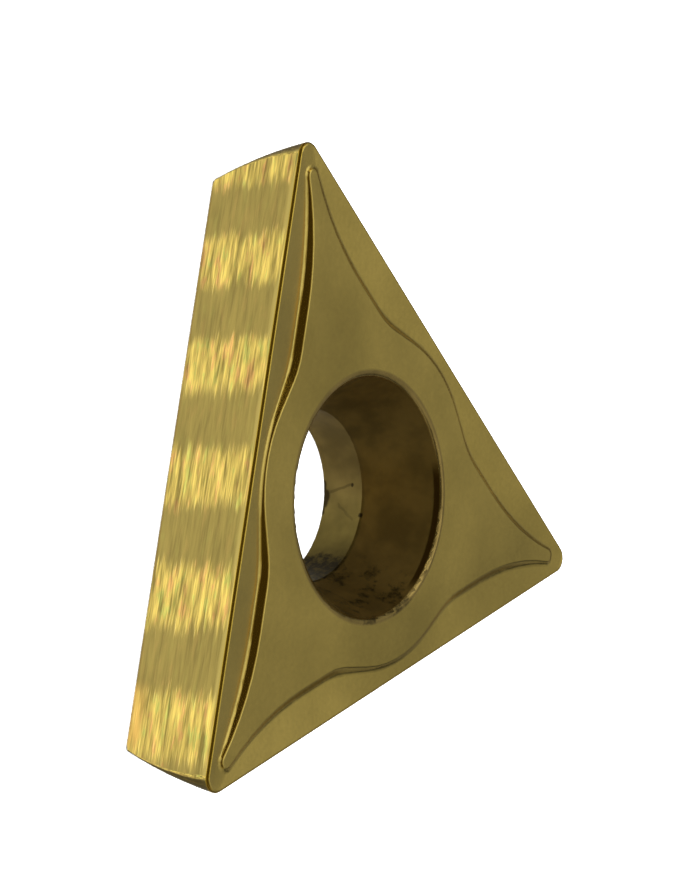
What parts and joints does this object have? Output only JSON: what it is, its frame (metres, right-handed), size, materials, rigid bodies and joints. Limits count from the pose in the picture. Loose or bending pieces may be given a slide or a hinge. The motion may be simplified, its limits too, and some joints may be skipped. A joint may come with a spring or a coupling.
{
  "type": "carbide insert",
  "caption": "Triangular indexable turning insert with a countersunk screw hole, inclined flanks and a wavy pressed chip breaker.",
  "frame": {"origin": "on the screw hole's axis, at the seat face", "axes": "+Z along the screw hole, from the seat face to the rake side; the corners point to 90, 210 and 330 degrees, so one cutting edge runs along X on the -Y side"},
  "size_m": [0.0158, 0.0138, 0.0032],
  "materials": {
    "coated_carbide": "gold nitride coating, satin on the pressed rake side, ground and streaky on the flanks"
  },
  "bodies": {
    "root": {"insert": "coated_carbide"}
  },
  "joints": []
}
